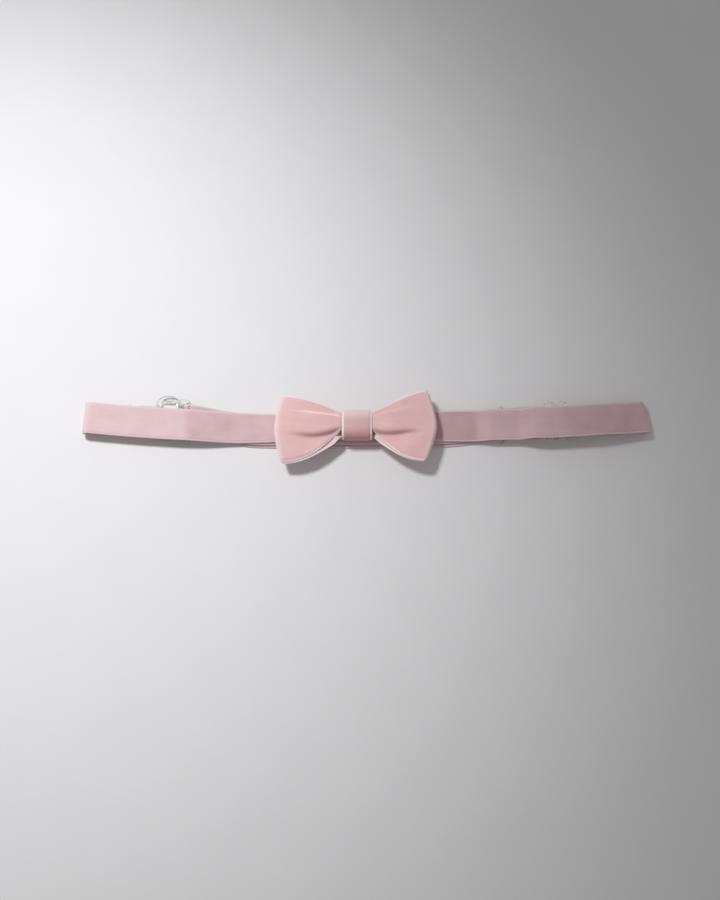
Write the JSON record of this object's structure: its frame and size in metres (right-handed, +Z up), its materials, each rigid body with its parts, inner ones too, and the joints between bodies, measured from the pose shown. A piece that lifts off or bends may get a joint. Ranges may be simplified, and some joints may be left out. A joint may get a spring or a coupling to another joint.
{
  "type": "bow on adjustable ribbon band",
  "caption": "Ready-tied velvet bow on a narrow velvet ribbon band with a ring and hook closure and a figure-of-eight slider, laid folded flat.",
  "frame": {"origin": "on the underside of the adjusting loop, on the surface the band lies on, midway between the two folds", "axes": "+X along the laid band towards the slider, +Y across it towards the far edge, +Z up from the surface"},
  "size_m": [0.1832, 0.0241, 0.0092],
  "materials": {
    "band_velvet": "pink velvet ribbon, short pile",
    "bow_velvet": "pale pink velvet ribbon, short pile",
    "sewing_thread": "spun polyester thread",
    "clear_plastic": "clear moulded plastic, polished"
  },
  "bodies": {
    "front": {"front_band": "band_velvet", "front_band_right": "band_velvet", "front_band_rise": "band_velvet", "left_fold": "band_velvet", "right_fold": "band_velvet", "bow_ribbon": "bow_velvet", "bow_knot": "bow_velvet", "gather_thread": "sewing_thread", "knot_stitches": "sewing_thread"},
    "left_end": {"left_flap": "band_velvet", "ring_tack": "sewing_thread"},
    "ring": {"ring": "clear_plastic"},
    "right_end": {"right_flap": "band_velvet", "adjuster_loop": "band_velvet"},
    "hook": {"hook": "clear_plastic"},
    "slider": {"slider": "clear_plastic", "slider_weave": "band_velvet", "slider_tail": "band_velvet", "slider_tack": "sewing_thread"}
  },
  "joints": [
    {"name": "left_fold", "type": "hinge", "parent": "front", "child": "left_end", "pos_m": [-0.08845, 0.00269, 0.0024], "axis": [0.103, 0.9947, 0], "range_deg": [0, 180], "deforming": ["left_fold"]},
    {"name": "ring_swivel", "type": "hinge", "parent": "left_end", "child": "ring", "pos_m": [-0.0674, 0.00352, 0.00165], "axis": [0.0524, 0.9986, 0], "range_deg": [0, 110]},
    {"name": "right_fold", "type": "hinge", "parent": "front", "child": "right_end", "pos_m": [0.08845, 0.00297, 0.00235], "axis": [0.1062, -0.9943, 0], "range_deg": [0, 180], "deforming": ["right_fold"]},
    {"name": "hook_swivel", "type": "hinge", "parent": "right_end", "child": "hook", "pos_m": [-0.0575, 0.00247, 0.0015], "axis": [0.0494, 0.9988, 0], "range_deg": [0, 7]},
    {"name": "slider_slide", "type": "slide", "parent": "right_end", "child": "slider", "axis": [0.9987, 0.0503, 0], "range_m": [-0.004, 0.008], "deforming": ["right_flap", "adjuster_loop"]}
  ]
}
